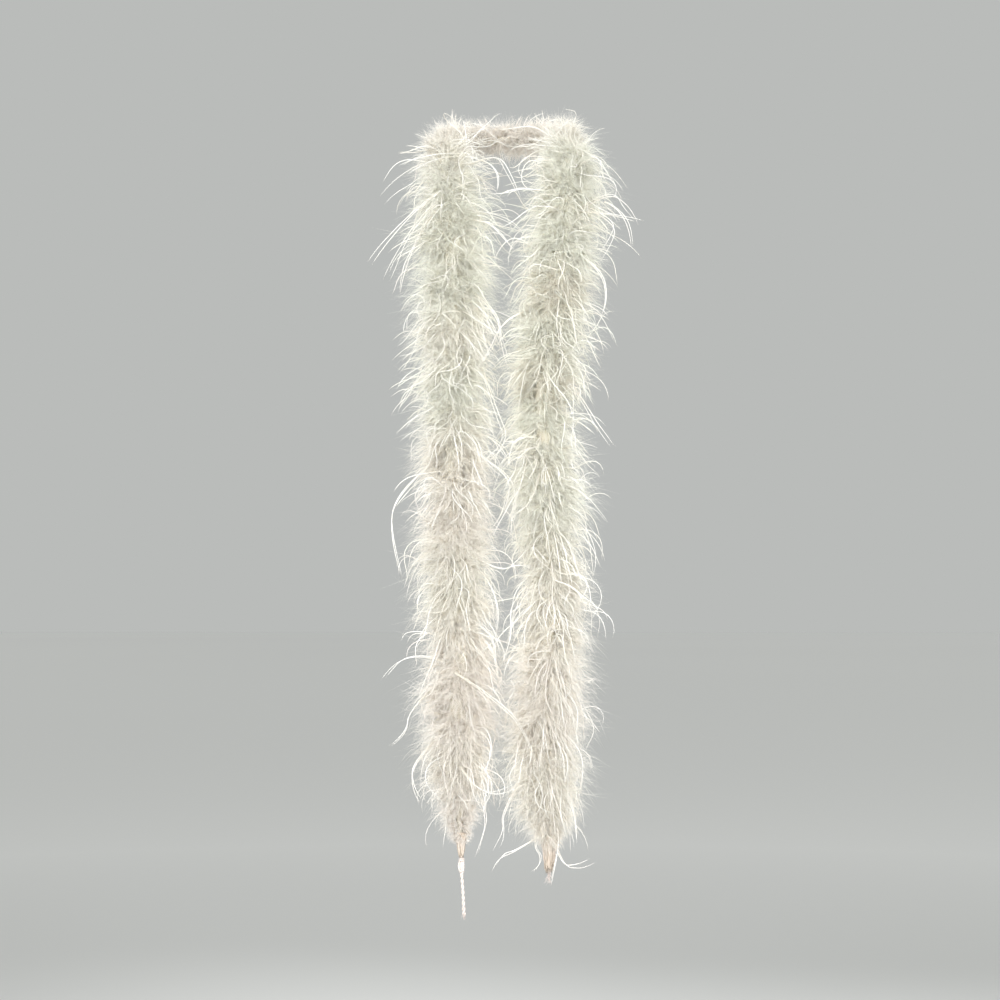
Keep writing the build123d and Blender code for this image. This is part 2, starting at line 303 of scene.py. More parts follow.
def strand_faces(steps, sides, pointed):
    """Faces of one closed strand: corner indices, the first corner of each face, and UV per corner."""
    rings = steps - 1 if pointed else steps
    corners, starts, uvs = [], [], []

    def face(indices, marks):
        starts.append(len(corners))
        corners.extend(indices)
        uvs.extend(marks)

    face(list(range(sides))[::-1], [(0.0, k / sides) for k in range(sides)][::-1])
    for ring in range(rings - 1):
        low, high = ring / (steps - 1), (ring + 1) / (steps - 1)
        for k in range(sides):
            here, there = ring * sides + k, ring * sides + (k + 1) % sides
            face(
                [here, there, there + sides, here + sides],
                [(low, k / sides), (low, (k + 1) / sides), (high, (k + 1) / sides), (high, k / sides)],
            )
    last = (rings - 1) * sides
    if pointed:
        low = (rings - 1) / (steps - 1)
        for k in range(sides):
            face(
                [last + k, last + (k + 1) % sides, rings * sides],
                [(low, k / sides), (low, (k + 1) / sides), (1.0, (k + 0.5) / sides)],
            )
    else:
        face([last + k for k in range(sides)], [(1.0, k / sides) for k in range(sides)])
    return np.array(corners), np.array(starts), np.array(uvs)


class Strands:
    """Collects closed strands and builds them as one mesh, with a hue row for each strand."""

    def __init__(self):
        self.vertices, self.corners, self.starts, self.uvs = [], [], [], []
        self.vertex_count = 0
        self.corner_count = 0

    def add(self, lines, radii, tints, sides=3, pointed=True, shade=STRAND):
        """lines is strands x steps x 3. radii is strands x steps, or one more axis for each side.
        tints are 0 to 1. shade is the part of the root to tip ramp of painted shade that the strands take."""
        count, steps = lines.shape[:2]
        tangents = unit(np.gradient(lines, axis=1))
        normals = carried_normals(tangents)
        binormals = np.cross(tangents, normals)
        turns = 2 * math.pi * np.arange(sides) / sides
        radii = radii if radii.ndim == 3 else radii[..., None]
        rings = lines[:, :, None] + radii[..., None] * (
            normals[:, :, None] * np.cos(turns)[:, None] + binormals[:, :, None] * np.sin(turns)[:, None]
        )
        if pointed:
            vertices = np.concatenate([rings[:, :-1].reshape(count, -1, 3), lines[:, -1:]], axis=1)
        else:
            vertices = rings.reshape(count, -1, 3)
        corners, starts, uvs = strand_faces(steps, sides, pointed)
        offsets = self.vertex_count + np.arange(count) * vertices.shape[1]
        self.vertices.append(vertices.reshape(-1, 3))
        self.corners.append((corners[None] + offsets[:, None]).ravel())
        self.starts.append(
            (starts[None] + self.corner_count + np.arange(count)[:, None] * len(corners)).ravel()
        )
        rows = np.floor(np.clip(tints, 0, 0.999) * TINT_ROWS)
        across = (rows[:, None] + 0.15 + 0.7 * uvs[None, :, 1]) / TINT_ROWS
        lengthwise = shade[0] + (shade[1] - shade[0]) * uvs[:, 0]
        strand_uvs = np.stack([np.broadcast_to(lengthwise, across.shape), across], axis=-1)
        self.uvs.append(strand_uvs.reshape(-1, 2))
        self.vertex_count += count * vertices.shape[1]
        self.corner_count += count * len(corners)

    def build(self, name, material):
        vertices, corners = np.concatenate(self.vertices), np.concatenate(self.corners)
        starts, uvs = np.concatenate(self.starts), np.concatenate(self.uvs)
        mesh = bpy.data.meshes.new(name)
        mesh.vertices.add(len(vertices))
        mesh.vertices.foreach_set("co", vertices.astype(np.float32).ravel())
        mesh.loops.add(len(corners))
        mesh.loops.foreach_set("vertex_index", corners.astype(np.int32))
        mesh.polygons.add(len(starts))
        mesh.polygons.foreach_set("loop_start", starts.astype(np.int32))
        mesh.update(calc_edges=True)
        layer = mesh.uv_layers.new(name="OFBake")
        layer.data.foreach_set("uv", uvs.astype(np.float32).ravel())
        mesh.materials.append(material)
        piece = bpy.data.objects.new(name, mesh)
        bpy.context.scene.collection.objects.link(piece)
        return piece


# ---------------------------------------------------------------- materials

def new_material(name, roughness, sheen):
    material = bpy.data.materials.new(name)
    material.use_nodes = True
    shader = material.node_tree.nodes["Principled BSDF"]
    shader.inputs["Roughness"].default_value = roughness
    shader.inputs["Sheen Weight"].default_value = sheen
    shader.inputs["Sheen Roughness"].default_value = 0.4
    shader.inputs["Specular IOR Level"].default_value = 0.25
    return material, material.node_tree, shader


def ramp(tree, stops):
    node = tree.nodes.new("ShaderNodeValToRGB")
    elements = node.color_ramp.elements
    while len(elements) < len(stops):
        elements.new(0.5)
    for element, (position, color) in zip(elements, stops):
        element.position = position
        element.color = color
    return node


def multiply(tree, first, second):
    node = tree.nodes.new("ShaderNodeMix")
    node.data_type = "RGBA"
    node.blend_type = "MULTIPLY"
    node.inputs["Factor"].default_value = 1.0
    tree.links.new(first, node.inputs["A"])
    tree.links.new(second, node.inputs["B"])
    return node.outputs["Result"]


def vary_roughness(tree, shader, pattern, roughness):
    node = tree.nodes.new("ShaderNodeMapRange")
    node.inputs["To Min"].default_value = roughness - 0.06
    node.inputs["To Max"].default_value = roughness + 0.06
    tree.links.new(pattern, node.inputs["Value"])
    tree.links.new(node.outputs["Result"], shader.inputs["Roughness"])


def add_relief(tree, shader, pattern, strength):
    node = tree.nodes.new("ShaderNodeBump")
    node.inputs["Strength"].default_value = strength
    node.inputs["Distance"].default_value = 0.0003
    tree.links.new(pattern, node.inputs["Height"])
    tree.links.new(node.outputs["Normal"], shader.inputs["Normal"])


def feather_material(name, hues, root_painted_shade, tip_shade, roughness, sheen):
    """Hue by the strand's row, painted shade along the strand (darker on the core and towards the root), and
    faint cross bars where the barbules sit.
    """
    material, tree, shader = new_material(name, roughness, sheen)
    place = tree.nodes.new("ShaderNodeUVMap")
    place.uv_map = "OFBake"
    split = tree.nodes.new("ShaderNodeSeparateXYZ")
    tree.links.new(place.outputs["UV"], split.inputs["Vector"])
    hue = ramp(tree, [(i / (len(hues) - 1), srgb(h)) for i, h in enumerate(hues)])
    tree.links.new(split.outputs["Y"], hue.inputs["Fac"])
    # Painted shade: darker on the core and towards each strand's root, where the down lies in its own shade
    shade = ramp(tree, [
        (PAINTED_CORE_SPAN[1], srgb(CORE_PAINTED_SHADE)), (STRAND[0], srgb(root_painted_shade)), (0.45, (1.0, 1.0, 1.0, 1.0)),
        (1.0, srgb(tip_shade)),
    ])
    tree.links.new(split.outputs["X"], shade.inputs["Fac"])
    bars = tree.nodes.new("ShaderNodeTexWave")
    bars.inputs["Scale"].default_value = 9.0
    bars.inputs["Distortion"].default_value = 2.5
    bars.inputs["Detail"].default_value = 3.0
    tree.links.new(place.outputs["UV"], bars.inputs["Vector"])
    mottle = ramp(tree, [(0.0, (0.97, 0.965, 0.955, 1.0)), (1.0, (1.0, 1.0, 1.0, 1.0))])
    tree.links.new(bars.outputs["Fac"], mottle.inputs["Fac"])
    colour = multiply(tree, hue.outputs["Color"], shade.outputs["Color"])
    colour = multiply(tree, colour, mottle.outputs["Color"])
    tree.links.new(colour, shader.inputs["Base Color"])
    vary_roughness(tree, shader, bars.outputs["Fac"], roughness)
    add_relief(tree, shader, bars.outputs["Fac"], 0.2)
    return material


def twisted_material(name, light, dark, scale, roughness, bump):
    """Spun fibre: fine slanted streaks in colour and relief."""
    material, tree, shader = new_material(name, roughness, 0.3)
    place = tree.nodes.new("ShaderNodeTexCoord")
    fibres = tree.nodes.new("ShaderNodeTexNoise")
    fibres.inputs["Scale"].default_value = scale
    fibres.inputs["Detail"].default_value = 6.0
    fibres.inputs["Roughness"].default_value = 0.7
    tree.links.new(place.outputs["Object"], fibres.inputs["Vector"])
    colour = ramp(tree, [(0.3, srgb(dark)), (0.62, srgb(light))])
    tree.links.new(fibres.outputs["Fac"], colour.inputs["Fac"])
    tree.links.new(colour.outputs["Color"], shader.inputs["Base Color"])
    vary_roughness(tree, shader, fibres.outputs["Fac"], roughness)
    add_relief(tree, shader, fibres.outputs["Fac"], bump)
    return material


# Each feather material: its hues, the painted shade at the strands' roots, then the tone at their tips
DOWN = feather_material(
    "marabou_down", [PINK_WHITE, IVORY, GREEN_CREAM, TAN], (254, 251, 245), (255, 255, 253), 0.75, 0.3
)
FLUE = feather_material(
    "ostrich_flue", [PINK_WHITE, WHITE, IVORY, GREEN_CREAM], (250, 246, 238), (255, 255, 254), 0.5, 0.2
)
QUILL = feather_material(
    "quill_base", [(240, 230, 222), (228, 217, 206), (208, 197, 184), (184, 173, 160)],
    (236, 229, 220), (250, 246, 240), 0.6, 0.1
)
CORD = twisted_material("cotton_cord", (236, 226, 220), (208, 194, 186), 900.0, 0.8, 0.6)
THREAD = twisted_material("binding_thread", (236, 228, 212), (206, 192, 168), 1400.0, 0.65, 0.4)


# ---------------------------------------------------------------- the boa's two sides

class Side:
    """One side of the boa, from the nape to its end."""

    def __init__(self, name, sign, neck, upper, lower, end, joints):
        self.name = name
        self.sign = sign
        self.chain = Chain([NAPE, *neck, *upper, *lower, end], sign)
        pivots = {j["name"]: j["pos_m"] for j in joints}
        self.bust = pivots[f"{name}_swing"]
        self.knee = pivots[f"{name}_bend"]
        self.bust_distance = self.chain.nearest(self.bust)
        self.knee_distance = self.chain.nearest(self.knee)
        heights, radii = np.array(DOWN_RADIUS[name]).T
        self.down_radius = lambda distance: np.interp(-self.chain.at(distance)[..., 2], -heights, radii)
        self.down_end = self.chain.distances[np.argmin(np.abs(self.chain.points[:, 2] - heights[-1]))]
        self.hue_heights, self.hue_shares = np.array(HUE[name]).T

    def regions(self):
        """(name, first distance, last distance, body above, body below or None)"""
        bust, knee = self.bust_distance, self.knee_distance
        upper, lower = f"{self.name}_upper", f"{self.name}_lower"
        return [
            ("nape", 0.0, 0.15, "neck_loop", None),
            ("shoulder", 0.15, bust - 0.10, "neck_loop", None),
            ("bust", bust - 0.10, bust + 0.13, "neck_loop", upper),
            ("waist", bust + 0.13, knee - 0.10, upper, None),
            ("knee", knee - 0.10, knee + 0.12, upper, lower),
            ("end", knee + 0.12, self.chain.length, lower, None),
        ]

    def carry(self, piece, above, below):
        """The piece rides on its body; a piece that crosses a joint only has its transform applied, and
        rides on no body.
        """
        if below is None:
            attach(piece, above)
            return
        distance, half = (self.bust_distance, 0.05) if above == "neck_loop" else (self.knee_distance, 0.06)
        start = self.chain.at(distance - half)
        end = self.chain.at(distance + half)
        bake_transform(piece)

    def frame_at(self, distance):
        chain = self.chain
        return chain.at(distance), chain.along(distance), chain.away(distance), chain.outward(distance)

    def hue(self, distance, rng, spread=0.10):
        """Hue drifts along the boa, as differently dyed feathers follow each other."""
        drift = np.interp(-self.chain.at(distance)[..., 2], -self.hue_heights, self.hue_shares)
        return drift + rng.normal(0.0, spread, np.shape(distance))


PLUMES_PER_METRE = 1800
HEART_BARBS = 60             # for each plume
FRINGE_BARBS = 44
QUILL_STEPS = 6
HEART_SHARE = 0.65           # barbs on this much of a quill, from its root, belong to the heart of the down
BARB_R = 0.00015
CORE_SHARE = 0.34            # radius of the matted heart of the down
NAPE_LEAN = 0.08             # near the nape, plumes lean less along the cord
FRONT_LEAN = 0.65            # plumes on the outer face lie down along the boa


def plume_quills(side, first, last, rng):
    """Short quills tied round the cord, which lean towards the boa's end and sag."""
    count = int((last - first) * PLUMES_PER_METRE)
    distance = rng.uniform(first, last, count)
    centre, along, away, outward = side.frame_at(distance)
    turn = rng.uniform(-math.pi, math.pi, count)[:, None]
    radial = np.cos(turn) * away + np.sin(turn) * outward
    radius = side.down_radius(distance)
    settled = np.clip(distance / NAPE_LEAN, 0.0, 1.0)[:, None]
    lean = (rng.uniform(-0.2, 0.7, (count, 1)) + FRONT_LEAN * np.clip(np.cos(turn), 0.0, 1.0)) * settled
    lean += rng.normal(0.0, 0.6, (count, 1)) * (1.0 - settled)
    headings = unit(radial + along * lean + rng.normal(0, 0.18, (count, 3)))
    quills = grow(
        centre + radial * 0.003, headings, radius * rng.uniform(0.42, 1.0, count), QUILL_STEPS, 10.0,
        rng.normal(0, 14.0, (count, 3)),
    )
    return quills, radial, radius, centre, away, distance


def plume_barbs(plumes, first, last, longest, count, steps, rng):
    """Barbs on both sides of each quill, between two shares of its length.

    Returns their lines, and the distance of each barb's plume along the boa.
    """
    quills, radial, radius, centre, away, distance = plumes
    plume_count = len(quills)
    tangents = unit(np.gradient(quills, axis=1))
    place = rng.uniform(first, last, (plume_count, count)) * (QUILL_STEPS - 1)
    index = np.minimum(place.astype(int), QUILL_STEPS - 2)
    share = (place - index)[..., None]
    rows = np.arange(plume_count)[:, None]
    roots = quills[rows, index] * (1 - share) + quills[rows, index + 1] * share
    tangent = tangents[rows, index]
    across = unit(np.cross(tangent, radial[:, None] * 0.6 + rng.normal(0, 0.5, (plume_count, 1, 3))))
    hand = np.where(np.arange(count) % 2, 1.0, -1.0)[None, :, None]
    leave = unit(
        tangent * rng.uniform(0.5, 0.9, (plume_count, 1, 1)) + across * hand * 0.85
        + radial[:, None] * 0.25 + rng.normal(0, 0.34, roots.shape)
    )
    reach = radius[:, None] * (0.44 + longest * rng.uniform(0, 1, place.shape) ** 3)
    barbs = grow(
        roots.reshape(-1, 3), leave.reshape(-1, 3), reach.ravel(), steps, 24.0,
        rng.normal(0, 22.0, (place.size, 3)),
    )
    parents = np.repeat(np.arange(plume_count), count)
    depth = radius * rng.uniform(0.7, 1.1, plume_count)
    barbs = press_to_body(barbs, centre[parents], away[parents], depth[parents])
    return keep_in_box(barbs), distance[parents]


def lumpy_core(side, first, last, rng):
    """The matted middle of the down, hidden under the barbs."""
    rings = max(6, int((last - first) / 0.005))
    distance = np.linspace(max(first - 0.004, 0.0), min(last + 0.004, side.chain.length), rings)
    sides = 20
    turns = np.linspace(0, 2 * math.pi, sides, endpoint=False)
    along = distance[:, None]
    waves = 0.06 * np.sin(along * 260 + 2 * turns) + 0.04 * np.sin(along * 410 - 3 * turns)
    smooth = (side.down_radius(distance) * CORE_SHARE)[:, None] * (1 + waves)
    radii = smooth + rng.normal(0, 0.0004, (rings, sides))
    return side.chain.at(distance)[None], radii[None], sides


def build_down(side, name, first, last, above, below, rng):
    """Two pieces for a region: the heart of its down, and the fringe that shows outside it."""
    last = min(last, side.down_end)
    plumes = plume_quills(side, first, last, rng)
    heart, fringe = Strands(), Strands()
    for strands, low, high, longest, count, taper in [
        (heart, 0.2, HEART_SHARE, 0.2, HEART_BARBS, (1.2, 0.2)),
        (fringe, HEART_SHARE, 1.0, 1.7, FRINGE_BARBS, (1.0, 0.8, 0.2)),
    ]:
        barbs, distance = plume_barbs(plumes, low, high, longest, count, len(taper), rng)
        thickness = BARB_R * rng.uniform(0.7, 1.3, (len(barbs), 1)) * np.array(taper)
        strands.add(barbs, thickness, side.hue(distance, rng))
    line, radii, sides = lumpy_core(side, first, last, rng)
    # The core's colour is painted shade, taken from the darkest part of the root to tip ramp
    heart.add(line, radii, np.array([0.36]), sides=sides, pointed=False, shade=PAINTED_CORE_SPAN)
    pieces = [
        heart.build(f"down_heart_{side.name}_{name}", DOWN),
        fringe.build(f"down_fringe_{side.name}_{name}", DOWN),
    ]
    for piece in pieces:
        side.carry(piece, above, below)
    return pieces


# ---------------------------------------------------------------- ostrich flues

# Shares of the bunches that leave the down towards the other side, over the outer face, and outwards
FACINGS = {"left": [0.52, 0.08, 0.40], "right": [0.44, 0.20, 0.36]}

# Bunches of flues for each region: how many, their length, how far they stand out, how fast they sag
FLUES = {
    "nape": (10, (0.030, 0.055), 0.9, 24.0),
    "shoulder": (56, (0.055, 0.108), 1.0, 12.0),
    "bust": (72, (0.055, 0.104), 1.0, 13.0),
    "waist": (38, (0.055, 0.104), 0.9, 15.0),
    "knee": (66, (0.060, 0.112), 0.75, 21.0),
    "end": (44, (0.065, 0.112), 0.5, 28.0),
}
FLUE_FREE_END = 0.115        # no flues are tied in this close to the boa's end
FLUE_STEPS = 16
FLUE_R = 0.00062
BARBULES_PER_FLUE = 42
BARBULE_LENGTH = 0.0024
BARBULE_R = 0.00018

# Loose flues that stand apart from the rest: the corners of their lines, in millimetres
STRAY_FLUES = {
    ("left", "nape"): [
        [(-53, -100, -58), (-42, -112, -30), (-50, -105, -4)],
        [(-60, -125, -62), (-43, -137, -40), (-33, -138, -58), (-39, -135, -80)],
        [(-55, -120, -52), (-91, -140, -56), (-126, -150, -80)],
    ],
    ("left", "shoulder"): [
        [(-44, -140, -68), (-12, -170, -60), (5, -176, -88), (17, -172, -120)],
        [(-30, -155, -66), (-6, -174, -76), (-9, -178, -108)],
        [(-80, -160, -106), (-125, -170, -140), (-160, -165, -196)],
        [(-82, -160, -116), (-116, -172, -150), (-145, -165, -215)],
        [(-85, -160, -128), (-122, -166, -180), (-128, -160, -226)],
        [(-40, -165, -140), (-12, -178, -146), (4, -176, -180)],
    ],
    ("left", "bust"): [
        [(-88, -162, -258), (-107, -174, -246), (-122, -174, -258), (-120, -170, -272)],
        [(-36, -165, -230), (-6, -180, -256), (-4, -176, -296), (6, -176, -318)],
        [(-30, -165, -318), (-12, -180, -376), (2, -180, -408), (-30, -184, -436)],
    ],
    ("left", "waist"): [
        [(-34, -165, -424), (0, -180, -446), (13, -180, -474), (3, -176, -502)],
        [(-94, -162, -440), (-130, -168, -470), (-139, -166, -520), (-122, -164, -576)],
    ],
    ("left", "knee"): [
        [(-70, -162, -672), (-120, -172, -650), (-146, -165, -690)],
        [(-72, -162, -648), (-106, -174, -628), (-120, -172, -650)],
        [(-34, -162, -560), (-2, -178, -590), (-10, -176, -640)],
        [(-46, -170, -540), (-8, -182, -566), (18, -182, -552), (37, -178, -560)],
        [(-60, -180, -684), (-14, -186, -712), (24, -184, -750), (46, -180, -818)],
    ],
    ("left", "end"): [
        [(-90, -162, -706), (-115, -170, -732), (-112, -168, -754), (-132, -164, -770)],
        [(-84, -162, -764), (-112, -170, -792), (-112, -168, -820), (-102, -164, -836)],
        [(-56, -182, -794), (-38, -186, -822), (-8, -182, -828), (22, -174, -810)],
        [(-20, -170, -800), (-32, -174, -814), (-33, -172, -838)],
        [(-36, -162, -816), (-20, -170, -850), (-26, -170, -880), (-32, -168, -902)],
    ],
    ("right", "shoulder"): [
        [(56, -150, -64), (28, -172, -64), (18, -177, -82), (24, -180, -102), (47, -176, -110)],
        [(40, -170, -106), (14, -182, -104), (-2, -184, -114), (-17, -180, -112)],
        [(92, -158, -126), (124, -166, -106), (148, -165, -124), (160, -160, -146)],
        [(120, -160, -116), (150, -168, -126), (155, -168, -168)],
        [(98, -160, -124), (130, -176, -142), (127, -177, -166), (110, -172, -186)],
        [(92, -158, -130), (128, -166, -134), (158, -162, -144)],
        [(85, -162, -180), (114, -177, -200), (121, -177, -240), (113, -172, -256)],
    ],
    ("right", "bust"): [
        [(78, -162, -236), (106, -172, -240), (122, -170, -256)],
        [(24, -165, -250), (-4, -182, -262), (-14, -178, -300), (-30, -178, -316)],
        [(72, -162, -326), (100, -172, -368), (112, -170, -388), (130, -166, -410)],
        [(36, -168, -392), (18, -180, -410), (-3, -180, -408)],
    ],
    ("right", "waist"): [
        [(26, -165, -424), (22, -182, -448), (4, -182, -500), (5, -178, -536)],
        [(40, -180, -448), (32, -188, -484), (10, -184, -494), (7, -180, -512)],
    ],
    ("right", "knee"): [
        [(30, -162, -580), (4, -178, -600), (10, -176, -650), (-4, -174, -680)],
        [(82, -162, -500), (110, -172, -520), (104, -168, -570)],
        [(52, -186, -690), (72, -188, -720), (82, -182, -746)],
        [(72, -176, -676), (84, -182, -724), (106, -174, -758)],
    ],
    ("right", "end"): [
        [(24, -162, -806), (-4, -172, -850), (3, -172, -876), (-8, -168, -896)],
        [(40, -160, -850), (30, -170, -890), (46, -172, -906), (30, -168, -922)],
        [(56, -160, -880), (66, -170, -914), (84, -172, -914), (101, -168, -908)],
        [(60, -162, -860), (66, -172, -890), (54, -170, -934)],
        [(36, -160, -880), (10, -170, -894), (-4, -172, -898), (-15, -168, -914)],
    ],
}
STRAYS_TOGETHER = 2          # flues that follow the same line
STRAY_SPREAD = 0.0020


def flue_lines(side, first, last, setting, rng):
    """Flues in bunches: those of one bunch start together and wander apart."""
    bunches, (shortest, longest), stand, droop = setting
    distance = rng.uniform(first, last, bunches)
    distance = np.minimum(distance, side.chain.length - FLUE_FREE_END * rng.uniform(1.0, 1.5, bunches))
    members = rng.integers(2, 8, bunches)
    bunch = np.repeat(np.arange(bunches), members)
    centre, along, away, outward = (v[bunch] for v in side.frame_at(distance))
    facing = rng.choice([-1.0, 0.15, 1.0], bunches, p=FACINGS[side.name])
    turn = (rng.normal(0.5 * math.pi, 0.4, bunches) * facing)[bunch] + rng.normal(0, 0.22, len(bunch))
    radial = np.cos(turn)[:, None] * away + np.sin(turn)[:, None] * outward
    lean = rng.uniform(-0.25, 0.8, bunches)[bunch][:, None] + (1 - stand) * 1.6
    headings = unit(radial + along * lean + rng.normal(0, 0.16, (len(bunch), 3)))
    lengths = rng.uniform(shortest, longest, bunches)[bunch] * rng.uniform(0.6, 1.1, len(bunch))
    curl = rng.normal(0, 24.0, (bunches, 3))[bunch] + rng.normal(0, 32.0, (len(bunch), 3))
    wave = rng.uniform(0, 2 * math.pi, bunches)[bunch] + rng.normal(0, 0.7, len(bunch))
    roots = centre + radial * 0.004 + along * rng.normal(0, 0.003, (len(bunch), 1))
    lines = grow(roots, headings, lengths, FLUE_STEPS, droop, curl, wave)
    lines = press_to_body(lines, centre, away, rng.uniform(0.018, 0.032, len(bunch)))
    return keep_in_box(lines), distance[bunch]


def stray_lines(corners, rng):
    """A few flues along one line, which drift apart towards their tips."""
    line = route_line(np.array(corners) / 1000)
    picked = line[np.linspace(0, len(line) - 1, FLUE_STEPS).round().astype(int)]
    share = np.linspace(0, 1, FLUE_STEPS)[None, :, None]
    drift = rng.normal(0, STRAY_SPREAD, (STRAYS_TOGETHER, 1, 3))
    ripple = rng.normal(0, 0.0012, (STRAYS_TOGETHER, 1, 3)) * np.sin(share * rng.uniform(5, 11))
    return picked[None] + drift * (0.5 + 1.2 * share) + ripple * share


def barbules(lines, rng):
    """Short fuzz that lies forward on both sides of each flue."""
    count, steps = lines.shape[:2]
    place = np.linspace(0.06, 0.985, BARBULES_PER_FLUE)[None] * (steps - 1)
    place = np.clip(place + rng.normal(0, 0.05, (count, BARBULES_PER_FLUE)), 0, steps - 1.001)
    index = place.astype(int)
    share = (place - index)[..., None]
    rows = np.arange(count)[:, None]
    roots = lines[rows, index] * (1 - share) + lines[rows, index + 1] * share
    tangent = unit(lines[rows, index + 1] - lines[rows, index])
    across = unit(np.cross(tangent, rng.normal(0, 1, (count, BARBULES_PER_FLUE, 3))))
    reach = BARBULE_LENGTH * rng.uniform(0.5, 1.3, (count, BARBULES_PER_FLUE, 1))
    tips = roots + (tangent * 0.85 + across * 0.5) * reach
    return np.stack([roots, tips], axis=2).reshape(-1, 2, 3)


def add_flues(strands, lines, tints, rng):
    taper = np.interp(np.linspace(0, 1, lines.shape[1]), [0, 0.15, 0.75, 1], [1.15, 1.0, 0.75, 0.3])
    strands.add(lines, FLUE_R * rng.uniform(0.8, 1.25, (len(lines), 1)) * taper, tints)
    fuzz = barbules(lines, rng)
    strands.add(fuzz, np.full((len(fuzz), 2), BARBULE_R), np.repeat(tints, BARBULES_PER_FLUE))


def build_flues(side, name, first, last, above, below, rng):
    lines, distance = flue_lines(side, first, last, FLUES[name], rng)
    strands = Strands()
    add_flues(strands, lines, side.hue(distance, rng, 0.2), rng)
    for corners in STRAY_FLUES.get((side.name, name), []):
        add_flues(strands, stray_lines(corners, rng), rng.uniform(0.1, 0.5, STRAYS_TOGETHER), rng)
    piece = strands.build(f"flues_{side.name}_{name}", FLUE)
    side.carry(piece, above, below)
    return piece


# ---------------------------------------------------------------- cord, thread and ends

def helix(line, places, turns, radius):
    """A path that winds round a line: the angle and radius are given at each place along it."""
    distances = lengths_along(line)
    centre = np.stack([np.interp(places, distances, line[:, i]) for i in range(3)], axis=-1)[None]
    tangents = unit(np.gradient(centre, axis=1))
    normals = carried_normals(tangents)
    binormals = np.cross(tangents, normals)
    turns = turns[None, :, None]
    return centre + radius * (np.cos(turns) * normals + np.sin(turns) * binormals)


def rope(name, line, diameter, material, loosen=0.0):
    """Two plies twisted round a line. loosen spreads the plies apart towards the line's end."""
    length = lengths_along(line)[-1]
    rings = max(12, int(length / ROPE_STEP))
    places = np.linspace(0, length, rings)
    ply_r = diameter * PLY_SHARE
    spread = (diameter / 2 - ply_r) * (1 + loosen * (places / places[-1]) ** 4)[None, :, None]
    strands = Strands()
    for ply in range(2):
        path = helix(line, places, 2 * math.pi * places / PLY_PITCH + math.pi * ply, spread)
        strands.add(path, np.full((1, rings), ply_r), np.array([0.3 + 0.2 * ply]), sides=8, pointed=False)
    return strands.build(name, material)


def thread_windings(name, line, first, last):
    """Bands of thread wound round the cord."""
    rings = THREAD_TURNS * 12
    turns = 2 * math.pi * THREAD_TURNS * np.linspace(0, 1, rings)
    strands = Strands()
    for start in np.arange(first, last, THREAD_SPACING):
        places = np.linspace(start, start + THREAD_BAND, rings)
        path = helix(line, places, turns, CORD_D / 2 + THREAD_R)
        strands.add(path, np.full((1, rings), THREAD_R), np.array([0.4]), sides=5, pointed=False)
    return strands.build(name, THREAD)


def towards(start, goal, distance):
    start, goal = np.array(start), np.array(goal)
    return tuple(start + unit(goal - start) * distance)


def build_cord(name, body, points):
    """One body's stretch of the core cord and the thread on it."""
    line = route_line(points)
    length = float(lengths_along(line)[-1])
    cord = rope(f"cord_{name}", line, CORD_D, CORD)
    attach(cord, body)
    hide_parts(f"core_cord_{name}")
    thread = thread_windings(f"thread_{name}", line, 0.012, length - 0.012)
    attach(thread, body)
    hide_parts(f"binding_thread_{name}")
    print(f"cord {name}: {length:.4f} m")


def end_knot():
    """Two plies that part round an eye and close again, with turns round them above and below."""
    top, bottom = np.array(LEFT_END), np.array(LEFT_TAIL[0])
    drop = bottom - top
    strands = Strands()
    share = np.linspace(-0.12, 1.12, 40)
    belly = np.sin(np.clip(share, 0, 1) * math.pi) ** 0.8
    for bow in (-1.0, 1.0):
        path = top + drop * share[:, None]
        path[:, 0] += bow * (KNOT_NECK + KNOT_EYE * belly) - KNOT_SAG * belly
        path[:, 1] += bow * KNOT_WEAVE * np.cos(share * 9.0)
        strands.add(path[None], np.full((1, 40), KNOT_PLY_R), np.array([0.3]), sides=8, pointed=False)
    middle = top + drop * np.linspace(0.1, 0.9, 12)[:, None]
    swell = KNOT_CORE_R * np.sin(np.linspace(0.3, 2.8, 12))
    strands.add(middle[None], swell[None], np.array([0.2]), sides=10, pointed=False)
    turn = np.linspace(0, 2 * math.pi * 1.08, 30)
    for height, radius in KNOT_TURNS:
        ring = top + drop * height + np.stack(
            [np.cos(turn) * radius, np.sin(turn) * radius, turn * KNOT_TURN_RISE], axis=-1
        )
        strands.add(ring[None], np.full((1, 30), KNOT_TURN_R), np.array([0.5]), sides=7, pointed=False)
    return strands.build("knot_left", CORD)


def wrapped_quills(name, end, before, length, top_radius, bottom_radius, count, ragged, rng):
    """Quill ends gathered round the cord's end."""
    base = np.array(towards(end, before, length))
    axis = np.array(end) - base
    share = np.linspace(0, 1, 8)
    turn = rng.uniform(0, 2 * math.pi, count)
    radial = np.stack([np.cos(turn), np.sin(turn), np.zeros(count)], axis=-1)
    stretch = rng.uniform(0.6, 1.04, count)
    spread = np.interp(share, [0, 1], [top_radius, bottom_radius])
    depth = rng.uniform(0.55, 1.0, count)
    lines = (
        base + axis * (share[None, :, None] * stretch[:, None, None])
        + radial[:, None] * (spread[None] * depth[:, None])[..., None]
        + rng.normal(0, ragged, (count, 8, 3)) * share[:, None]
    )
    strands = Strands()
    radii = np.full((count, 8), 0.0007) * np.linspace(1.1, 0.5, 8)
    strands.add(lines, radii, rng.uniform(0, 1, count), sides=5)
    return strands.build(name, QUILL)


